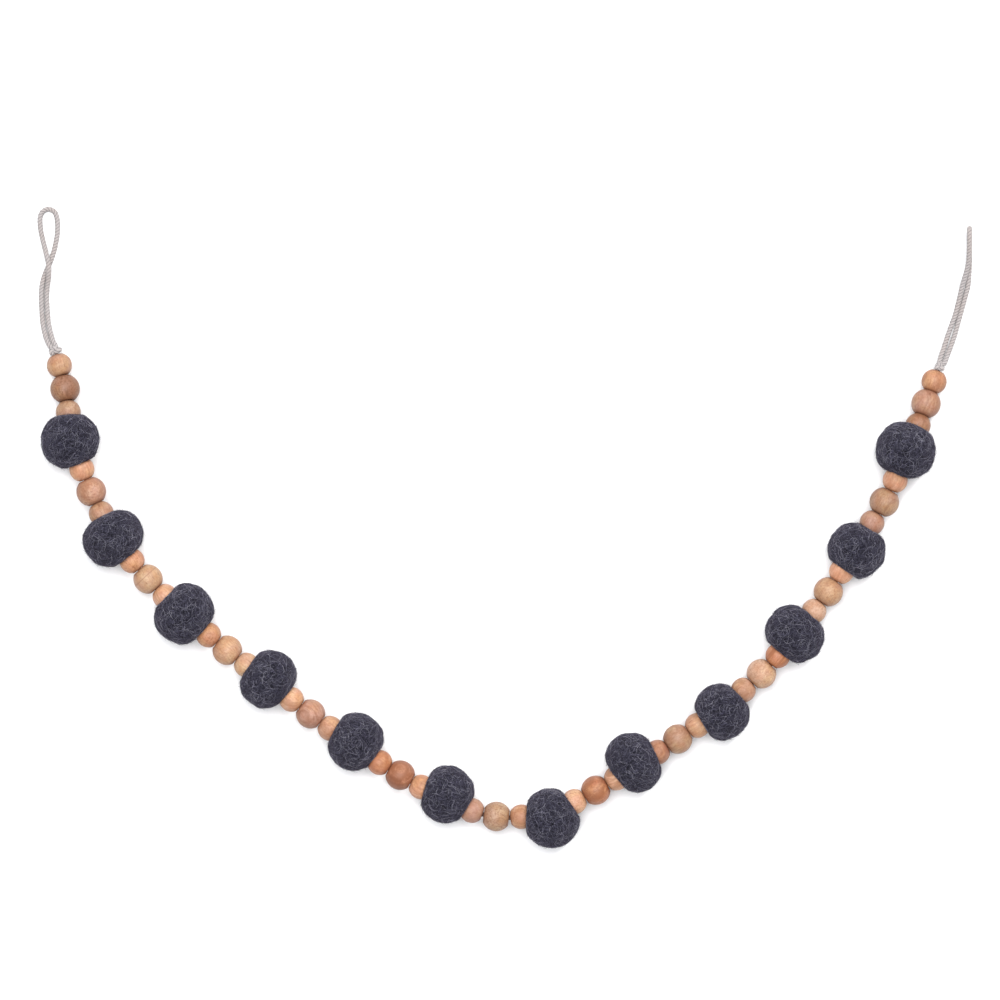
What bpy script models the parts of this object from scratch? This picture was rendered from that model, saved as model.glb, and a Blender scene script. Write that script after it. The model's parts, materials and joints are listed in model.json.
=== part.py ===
"""A felt ball garland, lying in a loose curve on a flat surface.

Twelve felt balls are strung on a twisted cord with three turned wooden beads, small, large and
small, before, between and after them. The cord is knotted at both ends and doubles back there
as a hanging loop.

Every size and place in the tables is in millimetres. The surface is z = 0, the loops point
towards +Y, and the origin lies under the middle of the beads, balls and knots.
"""

import math
from collections import namedtuple

import bmesh
import bpy
from mathutils import Matrix, Vector, noise

MM = 0.001

# Clearance between neighbours
GAP = 0.3
HALF_GAP = GAP / 2

# Cord of three strands
CORD_WIDTH = 2.35
CORD_STRANDS = 3
CORD_LAY = 5.1
STEPS_PER_LAY = 6
GROOVE_SHARE = 0.76
BORE_RADIUS = 1.6

# Turned beads, round with a flat drilled end on both sides
BeadSize = namedtuple("BeadSize", "width length sides")
LARGE_BEAD = BeadSize(width=15.1, length=12.7, sides=14)
SMALL_BEAD = BeadSize(width=12.8, length=10.7, sides=12)
BEAD_SHOULDER = math.radians(30)
BEAD_SHARP_EDGE = math.radians(40)

# Felt balls from left to right: radius around the cord, and radius along it
Ball = namedtuple("Ball", "x y cord_x cord_y around along")
BALLS = (
    Ball(-216.3, 79.2, -216.0, 78.8, 15.0, 15.0),
    Ball(-194.4, 29.6, -194.3, 29.6, 16.0, 14.3),
    Ball(-158.2, -9.1, -158.3, -9.3, 16.0, 14.8),
    Ball(-115.3, -42.3, -115.8, -43.2, 15.6, 13.9),
    Ball(-70.8, -74.1, -72.1, -76.0, 15.1, 14.5),
    Ball(-24.2, -101.0, -25.3, -103.8, 14.9, 14.2),
    Ball(28.9, -113.2, 29.0, -110.6, 15.3, 14.9),
    Ball(71.0, -84.7, 72.1, -86.4, 15.9, 13.9),
    Ball(115.9, -58.8, 115.0, -57.5, 14.8, 14.1),
    Ball(153.0, -19.1, 153.4, -19.4, 15.6, 14.5),
    Ball(184.6, 23.4, 183.6, 23.8, 14.8, 14.6),
    Ball(209.6, 74.3, 210.9, 73.8, 15.3, 15.3),
)
BALL_SIDES = 14
BALL_RINGS = 5
BALL_LUMP = 0.03
BALL_LUMP_SCALE = 1.6
BALL_LUMP_SHIFT = (3.7, 1.9, 0.0)

# Flat spot under each ball, on its middle rings
SEAT_DEPTH = 0.8
SEAT_RADIUS = 5.0
SEAT_SIDE_RINGS = 1
SEAT_SIDES = (-1, 0, 1)

# Dimple in a ball where a small bead is pressed in
DIMPLE_FLOOR_RADIUS = 3.9
DIMPLE_WALL_RADIUS = 6.0
DIMPLE_WALL_RISE = 1.9
DIMPLE_LIP_RADIUS = 7.2
LIP_ROUNDS = 4

# Groups of three beads: centre of the large one, and the tints of all three in order
Group = namedtuple("Group", "x y z tints")
GROUPS = (
    Group(-219.3, 105.8, 8.4, ("tan", "brown", "peach")),
    Group(-205.7, 53.3, 13.0, ("orange", "rose", "peach")),
    Group(-176.7, 8.7, 13.2, ("orange", "pale", "peach")),
    Group(-136.3, -27.6, 13.0, ("orange", "tan", "pale")),
    Group(-93.8, -60.1, 12.8, ("peach", "rose", "peach")),
    Group(-48.1, -91.3, 13.1, ("orange", "brown", "pale")),
    Group(0.9, -112.4, 12.6, ("rose", "pale", "orange")),
    Group(51.6, -99.0, 13.6, ("peach", "orange", "tan")),
    Group(93.4, -72.9, 13.3, ("rose", "tan", "peach")),
    Group(136.1, -39.6, 12.9, ("peach", "pale", "orange")),
    Group(170.2, 2.2, 13.3, ("pale", "tan", "orange")),
    Group(198.8, 48.0, 12.8, ("rose", "tan", "orange")),
    Group(220.3, 98.2, 8.4, ("orange", "rose", "orange")),
)

# Knots: half sizes across and up, and the share that the wrapped turns stand out
Knot = namedtuple("Knot", "x y z across up turns")
LEFT_KNOT = Knot(-224.7, 125.1, 5.6, 3.1, 2.5, 0.13)
RIGHT_KNOT = Knot(227.2, 116.9, 5.6, 2.3, 2.2, 0.10)
KNOT_SIDES = 12
KNOT_RINGS = 7
KNOT_TWIST = 2.4
KNOT_FULLNESS = 2.6

# Hanging loops: points along the middle of the cord, from the knot out and back to it
LEFT_LOOP_ROUTE = (
    (-224.4, 128.0, 4.9), (-225.8, 130.6, 4.1), (-227.3, 135.7, 2.6), (-228.3, 140.8, 1.6),
    (-228.8, 146.9, 1.3), (-229.1, 152.5, 1.3), (-228.8, 157.6, 1.5), (-228.2, 161.7, 2.6),
    (-227.9, 165.8, 3.9), (-228.1, 169.9, 4.0), (-228.9, 173.7, 3.6), (-230.0, 178.0, 2.3),
    (-231.2, 182.6, 1.4), (-232.2, 187.7, 1.3), (-232.5, 193.0, 1.3), (-231.3, 196.4, 1.3),
    (-228.2, 197.8, 1.3), (-225.1, 196.4, 1.3), (-223.8, 193.1, 1.3), (-223.5, 188.9, 1.3),
    (-223.7, 184.6, 1.3), (-224.5, 180.1, 1.3), (-225.6, 175.5, 1.3), (-226.8, 171.9, 1.3),
    (-228.3, 168.4, 1.3), (-229.8, 165.0, 1.3), (-231.0, 161.2, 1.3), (-231.7, 156.6, 1.3),
    (-231.8, 152.0, 1.3), (-231.6, 146.4, 1.3), (-231.2, 140.8, 1.5), (-230.3, 135.7, 2.4),
    (-228.9, 131.1, 3.8), (-227.3, 127.8, 4.9),
)
RIGHT_LOOP_ROUTE = (
    (227.4, 119.5, 4.8), (228.4, 123.0, 3.9), (229.7, 126.5, 2.8), (231.7, 132.7, 1.7),
    (233.5, 137.8, 1.4), (235.4, 142.9, 1.4), (236.8, 148.0, 1.7), (238.0, 153.1, 2.3),
    (238.9, 157.6, 3.2), (240.0, 161.7, 4.3), (241.2, 166.3, 5.8), (242.0, 170.4, 7.2),
    (242.3, 175.5, 8.8), (242.4, 180.0, 9.8), (242.4, 183.4, 10.1), (242.5, 186.5, 8.8),
    (242.7, 187.8, 5.7), (242.9, 186.5, 2.6), (243.0, 183.4, 1.3), (243.0, 179.4, 1.3),
    (243.0, 175.0, 1.3), (242.9, 170.4, 1.3), (242.8, 166.3, 1.3), (242.5, 161.7, 1.3),
    (242.0, 157.6, 1.3), (240.8, 153.1, 1.3), (239.4, 148.0, 1.3), (238.0, 142.9, 1.3),
    (236.6, 137.8, 1.3), (235.1, 132.7, 1.7), (232.9, 126.5, 2.8), (231.4, 122.7, 3.9),
    (230.0, 119.2, 4.8),
)
ROUTE_SAMPLES = 16

# Colours, in linear red, green and blue
WOOD_TINTS = {
    "pale": (0.68, 0.43, 0.22),
    "peach": (0.70, 0.39, 0.20),
    "orange": (0.56, 0.27, 0.12),
    "tan": (0.52, 0.31, 0.17),
    "rose": (0.50, 0.27, 0.16),
    "brown": (0.36, 0.19, 0.11),
}
WOOD_ROUGHNESS = 0.45
FELT_COLOUR = (0.035, 0.037, 0.045)
FELT_ROUGHNESS = 0.95
CORD_COLOUR = (0.62, 0.55, 0.50)
CORD_ROUGHNESS = 0.9

DOWN = Vector((0, 0, -1))


def clear_scene():
    """Remove every object that the scene starts with."""
    for existing in list(bpy.data.objects):
        bpy.data.objects.remove(existing, do_unlink=True)


def make_material(name, colour, roughness):
    """One Principled material of a single colour."""
    material = bpy.data.materials.new(name)
    material.use_nodes = True
    shader = material.node_tree.nodes["Principled BSDF"]
    shader.inputs["Base Color"].default_value = (*colour, 1.0)
    shader.inputs["Roughness"].default_value = roughness
    shader.inputs["Metallic"].default_value = 0.0
    material.diffuse_color = (*colour, 1.0)
    return material


def place_object(name, data, material, location=(0, 0, 0), turn=None):
    """Link one object at a place in millimetres, with its own material."""
    item = bpy.data.objects.new(name, data)
    bpy.context.scene.collection.objects.link(item)
    if not data.materials:
        data.materials.append(material)
    item.material_slots[0].link = "OBJECT"
    item.material_slots[0].material = material
    item.location = Vector(location) * MM
    if turn is not None:
        item.rotation_euler = turn
    return item


def ring_mesh(name, rings, closed=False):
    """Smooth mesh through rings of points in millimetres, either closed on itself or capped."""
    shape = bmesh.new()
    rows = [[shape.verts.new(Vector(point) * MM) for point in ring] for ring in rings]
    count = len(rows[0])
    pairs = list(zip(rows, rows[1:]))
    if closed:
        pairs.append((rows[-1], rows[0]))
    for near, far in pairs:
        for index in range(count):
            after = (index + 1) % count
            shape.faces.new((near[index], near[after], far[index]))
            shape.faces.new((near[after], far[after], far[index]))
    if not closed:
        shape.faces.new(list(reversed(rows[0])))
        shape.faces.new(rows[-1])
    bmesh.ops.recalc_face_normals(shape, faces=shape.faces)
    mesh = bpy.data.meshes.new(name)
    shape.to_mesh(mesh)
    shape.free()
    mesh.shade_smooth()
    return mesh


def circle_points(centre, first, second, radius, sides):
    """Points around a centre, in the plane of two unit directions."""
    angles = [math.tau * index / sides for index in range(sides)]
    return [centre + (first * math.cos(angle) + second * math.sin(angle)) * radius for angle in angles]


def below_and_beside(axis):
    """Two unit directions across an axis: the lowest one, and the level one beside it."""
    below = (DOWN - axis * DOWN.dot(axis)).normalized()
    return below, axis.cross(below)


def bead_face_radius(size):
    """Radius of a bead's flat end, where its round side meets the cut."""
    return math.sqrt((size.width / 2) ** 2 - (size.length / 2) ** 2)


def bead_mesh(name, size):
    """Bead turned about Z, drilled right through for the cord."""
    half = size.length / 2
    radius = size.width / 2
    shoulder_radius = radius * math.cos(BEAD_SHOULDER)
    shoulder_height = radius * math.sin(BEAD_SHOULDER)
    face_radius = bead_face_radius(size)
    profile = (
        (BORE_RADIUS, -half),
        (face_radius, -half),
        (shoulder_radius, -shoulder_height),
        (radius, 0.0),
        (shoulder_radius, shoulder_height),
        (face_radius, half),
        (BORE_RADIUS, half),
    )
    along_x = Vector((1, 0, 0))
    along_y = Vector((0, 1, 0))
    rings = [
        circle_points(Vector((0, 0, height)), along_x, along_y, width, size.sides)
        for width, height in profile
    ]
    mesh = ring_mesh(name, rings, closed=True)
    mesh.set_sharp_from_angle(angle=BEAD_SHARP_EDGE)
    return mesh


# Where each bead sits on the cord
Seat = namedtuple("Seat", "centre axis")
Strung = namedtuple("Strung", "first large second path")


def joint_allowance(size, one, other):
    """Half the gap between two beads whose axes bend by some angle, so that their rims clear."""
    bend = one.angle(other, 0.0)
    return HALF_GAP + bead_face_radius(size) * math.tan(bend / 2)


def string_group(group, before, after):
    """Seat three beads between the balls or knots before and after them."""
    centre = Vector((group.x, group.y, group.z))
    axis = (after - before).normalized()
    large_half = LARGE_BEAD.length / 2
    small_half = SMALL_BEAD.length / 2
    seats = {}
    corners = {}
    for side, end in ((-1, before), (1, after)):
        rough = centre + axis * side * large_half
        bend_gap = joint_allowance(SMALL_BEAD, axis * side, end - rough)
        corner = centre + axis * side * (large_half + bend_gap)
        outward = (end - corner).normalized()
        seats[side] = Seat(corner + outward * (bend_gap + small_half), outward * side)
        corners[side] = corner
    mouths = {side: seats[side].centre + seats[side].axis * side * (small_half + HALF_GAP) for side in seats}
    path = [mouths[-1], corners[-1], corners[1], mouths[1]]
    return Strung(seats[-1], Seat(centre, axis), seats[1], path)


def turn_along(axis):
    """Rotation that lays a bead's Z along an axis."""
    return axis.to_track_quat("Z", "Y").to_euler()


def ball_middle(ball):
    """Middle of a felt ball that rests on its flat spot."""
    return Vector((ball.x, ball.y, ball.around - SEAT_DEPTH))


def ball_cord_point(ball):
    """Where the cord passes a felt ball's middle."""
    return Vector((ball.cord_x, ball.cord_y, ball.around - SEAT_DEPTH))


def lump_factor(direction, number):
    """Slow unevenness of hand-rolled felt, different on each ball."""
    probe = direction * BALL_LUMP_SCALE + Vector(BALL_LUMP_SHIFT) * number
    return 1.0 + BALL_LUMP * noise.noise(probe)


def reach_to_skin(ball, middle, axis, start, direction):
    """Distance from a point inside a ball to its smooth skin, along a direction."""
    def unstretch(vector):
        """The same vector where the ball would be a unit sphere."""
        along = axis * vector.dot(axis)
        return along / ball.along + (vector - along) / ball.around

    origin = unstretch(start - middle)
    ray = unstretch(direction)
    slope = origin.dot(ray)
    square = ray.length_squared
    return (math.sqrt(slope ** 2 - square * (origin.length_squared - 1)) - slope) / square


def ball_rings(ball, number, mouth_in, mouth_out):
    """Rings of one felt ball about its middle, from one dimple round the outside to the other."""
    middle = ball_middle(ball)
    cord = ball_cord_point(ball)
    travel_in = (cord - mouth_in).normalized()
    travel_out = (mouth_out - cord).normalized()
    travel = (travel_in + travel_out).normalized()
    bend = travel_in.rotation_difference(travel_out)
    around = [math.tau * index / BALL_SIDES for index in range(BALL_SIDES)]

    def skin_point(axis, angle, turn):
        """Point on the skin, at an angle from the cord's way back and a turn from the lowest."""
        below, beside = below_and_beside(axis)
        outward = below * math.cos(turn) + beside * math.sin(turn)
        direction = outward * math.sin(angle) - axis * math.cos(angle)
        return direction * reach_to_skin(ball, middle, travel, cord, direction)

    def lip_angle(axis, side, turn):
        """Angle from the cord at which the skin is one lip radius away from it."""
        angle = math.asin(DIMPLE_LIP_RADIUS / ball.along)
        for _ in range(LIP_ROUNDS):
            reach = skin_point(axis * side, angle, turn).length
            angle = math.asin(DIMPLE_LIP_RADIUS / reach)
        return angle

    def dimple(axis, side, mouth):
        """Mouth, floor and wall of the dimple on one side."""
        below, beside = below_and_beside(axis)
        depth = (mouth - cord).length - HALF_GAP
        rows = (
            (BORE_RADIUS, depth),
            (DIMPLE_FLOOR_RADIUS, depth),
            (DIMPLE_WALL_RADIUS, depth + DIMPLE_WALL_RISE),
        )
        return [
            circle_points(cord - middle + axis * side * height, below, beside, radius, BALL_SIDES)
            for radius, height in rows
        ]

    first_lips = [lip_angle(travel_in, 1, turn) for turn in around]
    second_lips = [math.pi - lip_angle(travel_out, -1, -turn) for turn in around]
    outside = []
    last_step = BALL_RINGS + 1
    middle_step = last_step // 2
    for step in range(last_step + 1):
        share = step / last_step
        swing = (1 - math.cos(math.pi * share)) / 2
        axis = travel_in.copy()
        axis.rotate(Matrix.Rotation(bend.angle * swing, 3, bend.axis))
        ring = []
        for turn, first, second in zip(around, first_lips, second_lips):
            spoke = skin_point(axis, first + (second - first) * share, turn)
            swell = lump_factor(spoke.normalized(), number) - 1
            ring.append(cord - middle + spoke * (1 + swell * math.sin(math.pi * share)))
        if abs(step - middle_step) <= SEAT_SIDE_RINGS:
            for index in SEAT_SIDES:
                ring[index] = seat_point(ring[index], middle)
        outside.append(ring)

    below, beside = below_and_beside(travel)
    elbow_radius = BORE_RADIUS / math.cos(bend.angle / 2)
    elbow = circle_points(cord - middle, below, beside, elbow_radius, BALL_SIDES)
    leaving = list(reversed(dimple(travel_out, 1, mouth_out)))
    return dimple(travel_in, -1, mouth_in) + outside + leaving + [elbow]


def seat_point(point, middle):
    """A low point of a ball, brought onto the small level disc that the ball rests on."""
    level = Vector((point.x, point.y, 0.0))
    if level.length > SEAT_RADIUS:
        level = level.normalized() * SEAT_RADIUS
    return Vector((level.x, level.y, -middle.z))


def knot_mesh(name, knot, axis, half_length):
    """Small knot: a full rounded body about an axis, with two wrapped turns standing out."""
    beside = axis.cross(Vector((0, 0, 1))).normalized()
    above = beside.cross(axis)
    stretch = half_length / math.cos(math.pi / 2 / KNOT_RINGS)
    rings = []
    for step in range(KNOT_RINGS):
        along = -math.cos(math.pi * (step + 0.5) / KNOT_RINGS)
        width = (1 - abs(along) ** KNOT_FULLNESS) ** (1 / KNOT_FULLNESS)
        ring = []
        for index in range(KNOT_SIDES):
            angle = math.tau * index / KNOT_SIDES
            turn = 1 + knot.turns * math.cos(2 * angle - KNOT_TWIST * along)
            across = beside * math.cos(angle) * knot.across
            upward = above * math.sin(angle) * knot.up
            ring.append(axis * along * stretch + (across + upward) * width * turn)
        rings.append(ring)
    return ring_mesh(name, rings)


def curve_point(before, start, end, after, share):
    """Point on a smooth curve between start and end, shaped by the points around them."""
    first = (end - before) / 2
    second = (after - start) / 2
    cubic = 2 * (start - end) + first + second
    square = 3 * (end - start) - 2 * first - second
    return start + first * share + square * share ** 2 + cubic * share ** 3


def smooth_route(points, spacing):
    """Evenly spaced points along the smooth curve through a route's points."""
    route = [Vector(point) for point in points]
    padded = [route[0] * 2 - route[1], *route, route[-1] * 2 - route[-2]]
    fine = [route[0]]
    for index in range(1, len(padded) - 2):
        four_points = padded[index - 1:index + 3]
        for step in range(1, ROUTE_SAMPLES + 1):
            fine.append(curve_point(*four_points, step / ROUTE_SAMPLES))
    lengths = [0.0]
    for start, end in zip(fine, fine[1:]):
        lengths.append(lengths[-1] + (end - start).length)
    count = round(lengths[-1] / spacing)
    even = []
    at = 0
    for step in range(count + 1):
        target = lengths[-1] * step / count
        while at < len(fine) - 2 and lengths[at + 1] < target:
            at += 1
        share = (target - lengths[at]) / (lengths[at + 1] - lengths[at])
        even.append(fine[at].lerp(fine[at + 1], share))
    return even


def twisted_cord_mesh(name, route):
    """Cord whose strands stand out as ridges that climb to the right."""
    path = smooth_route(route, CORD_LAY / STEPS_PER_LAY)
    ends = [path[0] * 2 - path[1], *path, path[-1] * 2 - path[-2]]
    tangents = [(after - before).normalized() for before, after in zip(ends, ends[2:])]
    normal = tangents[0].orthogonal().normalized()
    rings = []
    for step, (centre, tangent) in enumerate(zip(path, tangents)):
        if step:
            normal.rotate(tangents[step - 1].rotation_difference(tangent))
        turn = math.tau * step / STEPS_PER_LAY
        other = tangent.cross(normal)
        ring = []
        for index in range(2 * CORD_STRANDS):
            angle = turn + math.pi * index / CORD_STRANDS
            share = GROOVE_SHARE if index % 2 else 1.0
            direction = normal * math.cos(angle) + other * math.sin(angle)
            ring.append(centre + direction * share * CORD_WIDTH / 2)
        rings.append(ring)
    return ring_mesh(name, rings)


def plain_cord_curve(name, points):
    """Round cord with filled ends along straight stretches between points."""
    curve = bpy.data.curves.new(name, "CURVE")
    curve.dimensions = "3D"
    curve.bevel_depth = CORD_WIDTH / 2 * MM
    curve.bevel_resolution = 1
    curve.use_fill_caps = True
    spline = curve.splines.new("POLY")
    spline.points.add(len(points) - 1)
    for spot, point in zip(spline.points, points):
        spot.co = (*(point * MM), 1.0)
    return curve


def build_beads(strung, wood):
    """All beads, numbered from left to right, sharing one mesh for each size."""
    small_mesh = bead_mesh("bead_small", SMALL_BEAD)
    large_mesh = bead_mesh("bead_large", LARGE_BEAD)
    small_number = 0
    for number, (group, seats) in enumerate(zip(GROUPS, strung), start=1):
        first_tint, large_tint, second_tint = group.tints
        place_object(f"bead_large_{number:02d}", large_mesh, wood[large_tint],
                     seats.large.centre, turn_along(seats.large.axis))
        for seat, tint in ((seats.first, first_tint), (seats.second, second_tint)):
            small_number += 1
            place_object(f"bead_small_{small_number:02d}", small_mesh, wood[tint],
                         seat.centre, turn_along(seat.axis))


def build_balls(strung, felt):
    """The felt balls, each with dimples for the small beads on both sides of it."""
    for number, ball in enumerate(BALLS, start=1):
        name = f"felt_ball_{number:02d}"
        rings = ball_rings(ball, number, strung[number - 1].path[-1], strung[number].path[0])
        place_object(name, ring_mesh(name, rings, closed=True), felt, ball_middle(ball))


def build_threaded_cord(strung, cord):
    """The cord inside the beads and balls, from the outer face of the first bead to the last."""
    points = list(strung[0].path)
    for ball, seats in zip(BALLS, strung[1:]):
        points.append(ball_cord_point(ball))
        points.extend(seats.path)
    points[0] = points[0] + strung[0].first.axis * HALF_GAP
    points[-1] = points[-1] - strung[-1].second.axis * HALF_GAP
    place_object("cord_threaded", plain_cord_curve("cord_threaded", points), cord)


def build_knot(name, knot, mouth, cord):
    """One knot against the outer face of an end bead."""
    centre = Vector((knot.x, knot.y, knot.z))
    reach = mouth - centre
    mesh = knot_mesh(name, knot, reach.normalized(), reach.length - HALF_GAP)
    place_object(name, mesh, cord, centre)


def build_loop(name, route, cord):
    """One hanging loop, from its knot out and back."""
    place_object(name, twisted_cord_mesh(name, route), cord)


def build_garland():
    """Build every piece of the garland."""
    clear_scene()
    felt = make_material("felt", FELT_COLOUR, FELT_ROUGHNESS)
    cord = make_material("cord", CORD_COLOUR, CORD_ROUGHNESS)
    wood = {tint: make_material(f"wood_{tint}", WOOD_TINTS[tint], WOOD_ROUGHNESS) for tint in WOOD_TINTS}

    holders = [LEFT_KNOT, *BALLS, RIGHT_KNOT]
    centres = [
        Vector((item.x, item.y, item.z)) if isinstance(item, Knot) else ball_cord_point(item)
        for item in holders
    ]
    strung = [
        string_group(group, before, after)
        for group, before, after in zip(GROUPS, centres, centres[1:])
    ]

    build_balls(strung, felt)
    build_beads(strung, wood)
    build_threaded_cord(strung, cord)
    build_knot("knot_left", LEFT_KNOT, strung[0].path[0], cord)
    build_knot("knot_right", RIGHT_KNOT, strung[-1].path[-1], cord)
    build_loop("loop_left", LEFT_LOOP_ROUTE, cord)
    build_loop("loop_right", RIGHT_LOOP_ROUTE, cord)


build_garland()
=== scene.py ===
# %% [markdown]
# # A felt ball garland
# Twelve felt balls and thirty-nine turned wooden beads hang on one twisted cord, which doubles
# back at both ends as a hanging loop. Here the garland lies on a pale surface, seen from above.
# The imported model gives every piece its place. This script gives each one its real surface:
# matted wool, turned wood and laid cord.

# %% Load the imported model
import json
import math
from collections import namedtuple

import bmesh
import bpy
import numpy as np
from mathutils import Matrix, Vector, noise


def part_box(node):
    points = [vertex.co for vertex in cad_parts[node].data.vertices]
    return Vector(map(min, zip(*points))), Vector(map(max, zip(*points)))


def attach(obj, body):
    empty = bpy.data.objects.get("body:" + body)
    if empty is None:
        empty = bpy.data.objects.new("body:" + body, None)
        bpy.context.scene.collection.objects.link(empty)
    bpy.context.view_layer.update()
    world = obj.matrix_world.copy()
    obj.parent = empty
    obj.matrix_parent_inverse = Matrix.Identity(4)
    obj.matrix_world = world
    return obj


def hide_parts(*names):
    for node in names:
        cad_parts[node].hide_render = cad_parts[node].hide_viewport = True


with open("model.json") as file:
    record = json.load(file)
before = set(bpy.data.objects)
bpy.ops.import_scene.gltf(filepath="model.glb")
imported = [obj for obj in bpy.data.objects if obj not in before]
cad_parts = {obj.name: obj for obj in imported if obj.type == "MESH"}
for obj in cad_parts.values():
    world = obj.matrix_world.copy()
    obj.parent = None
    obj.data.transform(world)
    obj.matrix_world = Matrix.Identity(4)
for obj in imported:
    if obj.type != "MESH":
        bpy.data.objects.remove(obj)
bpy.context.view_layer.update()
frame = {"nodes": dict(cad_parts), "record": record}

MM = 0.001
slot_of = {row["node"]: row["material_slot"] for row in frame["record"]["subparts"]}

# %% [markdown]
# ## The camera
# The garland was seen from straight above, so the camera looks down. It stands far off with a
# long lens, because then the raised balls and the low loops keep the same scale. The picture is
# 1000 pixels wide, and the origin of the model is one named pixel in it.

# %% Camera
PICTURE_PIXELS = 1000
PIXEL = 0.51 * MM
ORIGIN_PIXEL_X = 494.55
ORIGIN_PIXEL_Y = 596.1
SHARP_HEIGHT = 13 * MM
CAMERA_DISTANCE = 4.0
SENSOR_WIDTH = 36.0

middle_pixel = PICTURE_PIXELS / 2
aim = Vector((
    (middle_pixel - ORIGIN_PIXEL_X) * PIXEL,
    (ORIGIN_PIXEL_Y - middle_pixel) * PIXEL,
    SHARP_HEIGHT,
))
camera_data = bpy.data.cameras.new("view_from_above")
camera_data.sensor_width = SENSOR_WIDTH
camera_data.lens = SENSOR_WIDTH * CAMERA_DISTANCE / (PICTURE_PIXELS * PIXEL)
camera = bpy.data.objects.new("view_from_above", camera_data)
camera.location = aim + Vector((0, 0, CAMERA_DISTANCE))
bpy.context.scene.collection.objects.link(camera)
bpy.context.scene.camera = camera
print("camera above", [round(value, 4) for value in aim], "lens", round(camera_data.lens, 1))

# %% [markdown]
# ## Helpers for node trees
# Shapes and finishes are both written as trees of nodes. A geometry tree is a recipe with named
# inputs. These helpers write one line for each node, and turn the finished recipe into a plain
# mesh, which is what an export needs.

# %% Helpers for node trees
class NodeWriter:
    """A node tree, written one node at a time."""

    def add(self, kind, values=None, out=0, **settings):
        """One node, with its settings, and its inputs as numbers or as other outputs."""
        node = self.tree.nodes.new(kind)
        for name, value in settings.items():
            setattr(node, name, value)
        for place, value in (values or {}).items():
            if isinstance(value, bpy.types.NodeSocket):
                self.tree.links.new(value, node.inputs[place])
            else:
                node.inputs[place].default_value = value
        return node.outputs[out]

    def maths(self, operation, first, second=0.0):
        """One sum on numbers."""
        return self.add("ShaderNodeMath", {0: first, 1: second}, operation=operation)

    def vector(self, operation, first, second=(0, 0, 0)):
        """One sum on vectors."""
        return self.add("ShaderNodeVectorMath", {0: first, 1: second}, operation=operation)

    def stretch(self, vector, factor):
        """A vector times a number."""
        return self.add("ShaderNodeVectorMath", {0: vector, 3: factor}, operation="SCALE")


class Recipe(NodeWriter):
    """A geometry tree with named inputs."""

    def __init__(self, name, **inputs):
        self.tree = bpy.data.node_groups.new(name, "GeometryNodeTree")
        sockets = self.tree.interface
        sockets.new_socket("Shape", in_out="INPUT", socket_type="NodeSocketGeometry")
        sockets.new_socket("Shape", in_out="OUTPUT", socket_type="NodeSocketGeometry")
        for label, kind in inputs.items():
            sockets.new_socket(label, in_out="INPUT", socket_type="NodeSocket" + kind)
        self.given = self.tree.nodes.new("NodeGroupInput").outputs

    def random(self, low, high, seed):
        """One random number for each item."""
        return self.add("FunctionNodeRandomValue", {2: low, 3: high, 8: seed}, out=1)

    def store(self, shape, name, value):
        """Keep a number for each point of the shape, under a name."""
        return self.add("GeometryNodeStoreNamedAttribute", {0: shape, 2: name, 3: value},
                        data_type="FLOAT", domain="POINT")

    def stored(self, name):
        """A number kept on the shape under a name."""
        return self.add("GeometryNodeInputNamedAttribute", {0: name}, data_type="FLOAT")

    def finish(self, shape):
        """Give the finished shape to the tree's output."""
        end = self.tree.nodes.new("NodeGroupOutput")
        self.tree.links.new(shape, end.inputs[0])
        return self.tree


def link_piece(name, data):
    """A new object at the origin."""
    piece = bpy.data.objects.new(name, data)
    bpy.context.scene.collection.objects.link(piece)
    return piece


def plain_piece(source):
    """The same piece as a plain mesh, with its modifiers worked out."""
    graph = bpy.context.evaluated_depsgraph_get()
    mesh = bpy.data.meshes.new_from_object(
        source.evaluated_get(graph), preserve_all_data_layers=True, depsgraph=graph)
    name = source.name
    bpy.data.objects.remove(source, do_unlink=True)
    mesh.name = name
    return link_piece(name, mesh)


def follow(piece, tree, **inputs):
    """Run a recipe on a piece, with its inputs set by name."""
    modifier = piece.modifiers.new(tree.name, "NODES")
    modifier.node_group = tree
    for item in tree.interface.items_tree:
        if item.in_out == "INPUT" and item.name in inputs:
            modifier[item.identifier] = inputs[item.name]


def join_pieces(piece, *others):
    """Join plain pieces into the first one."""
    with bpy.context.temp_override(active_object=piece, selected_editable_objects=[piece, *others]):
        bpy.ops.object.join()
    return piece


def triangle_count(piece):
    """How many triangles a plain piece has."""
    piece.data.calc_loop_triangles()
    return len(piece.data.loop_triangles)


def ring_piece(name, shape, rings):
    """A smooth closed skin through rings of corners, the last ring joined to the first."""
    for near, far in zip(rings, rings[1:] + rings[:1]):
        for side in range(len(near)):
            after = (side + 1) % len(near)
            shape.faces.new((near[side], near[after], far[after], far[side]))
    bmesh.ops.recalc_face_normals(shape, faces=shape.faces)
    mesh = bpy.data.meshes.new(name)
    shape.to_mesh(mesh)
    shape.free()
    mesh.shade_smooth()
    return link_piece(name, mesh)


print("helpers for shapes:", ", ".join(
    helper.__name__ for helper in (plain_piece, follow, join_pieces, triangle_count, ring_piece)))

# %% [markdown]
# ## Helpers for materials
# Each finish is a Principled shader whose colour, roughness and bump come from noise in the
# piece's own space. A value that is the same all over is set on the shader itself.

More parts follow.
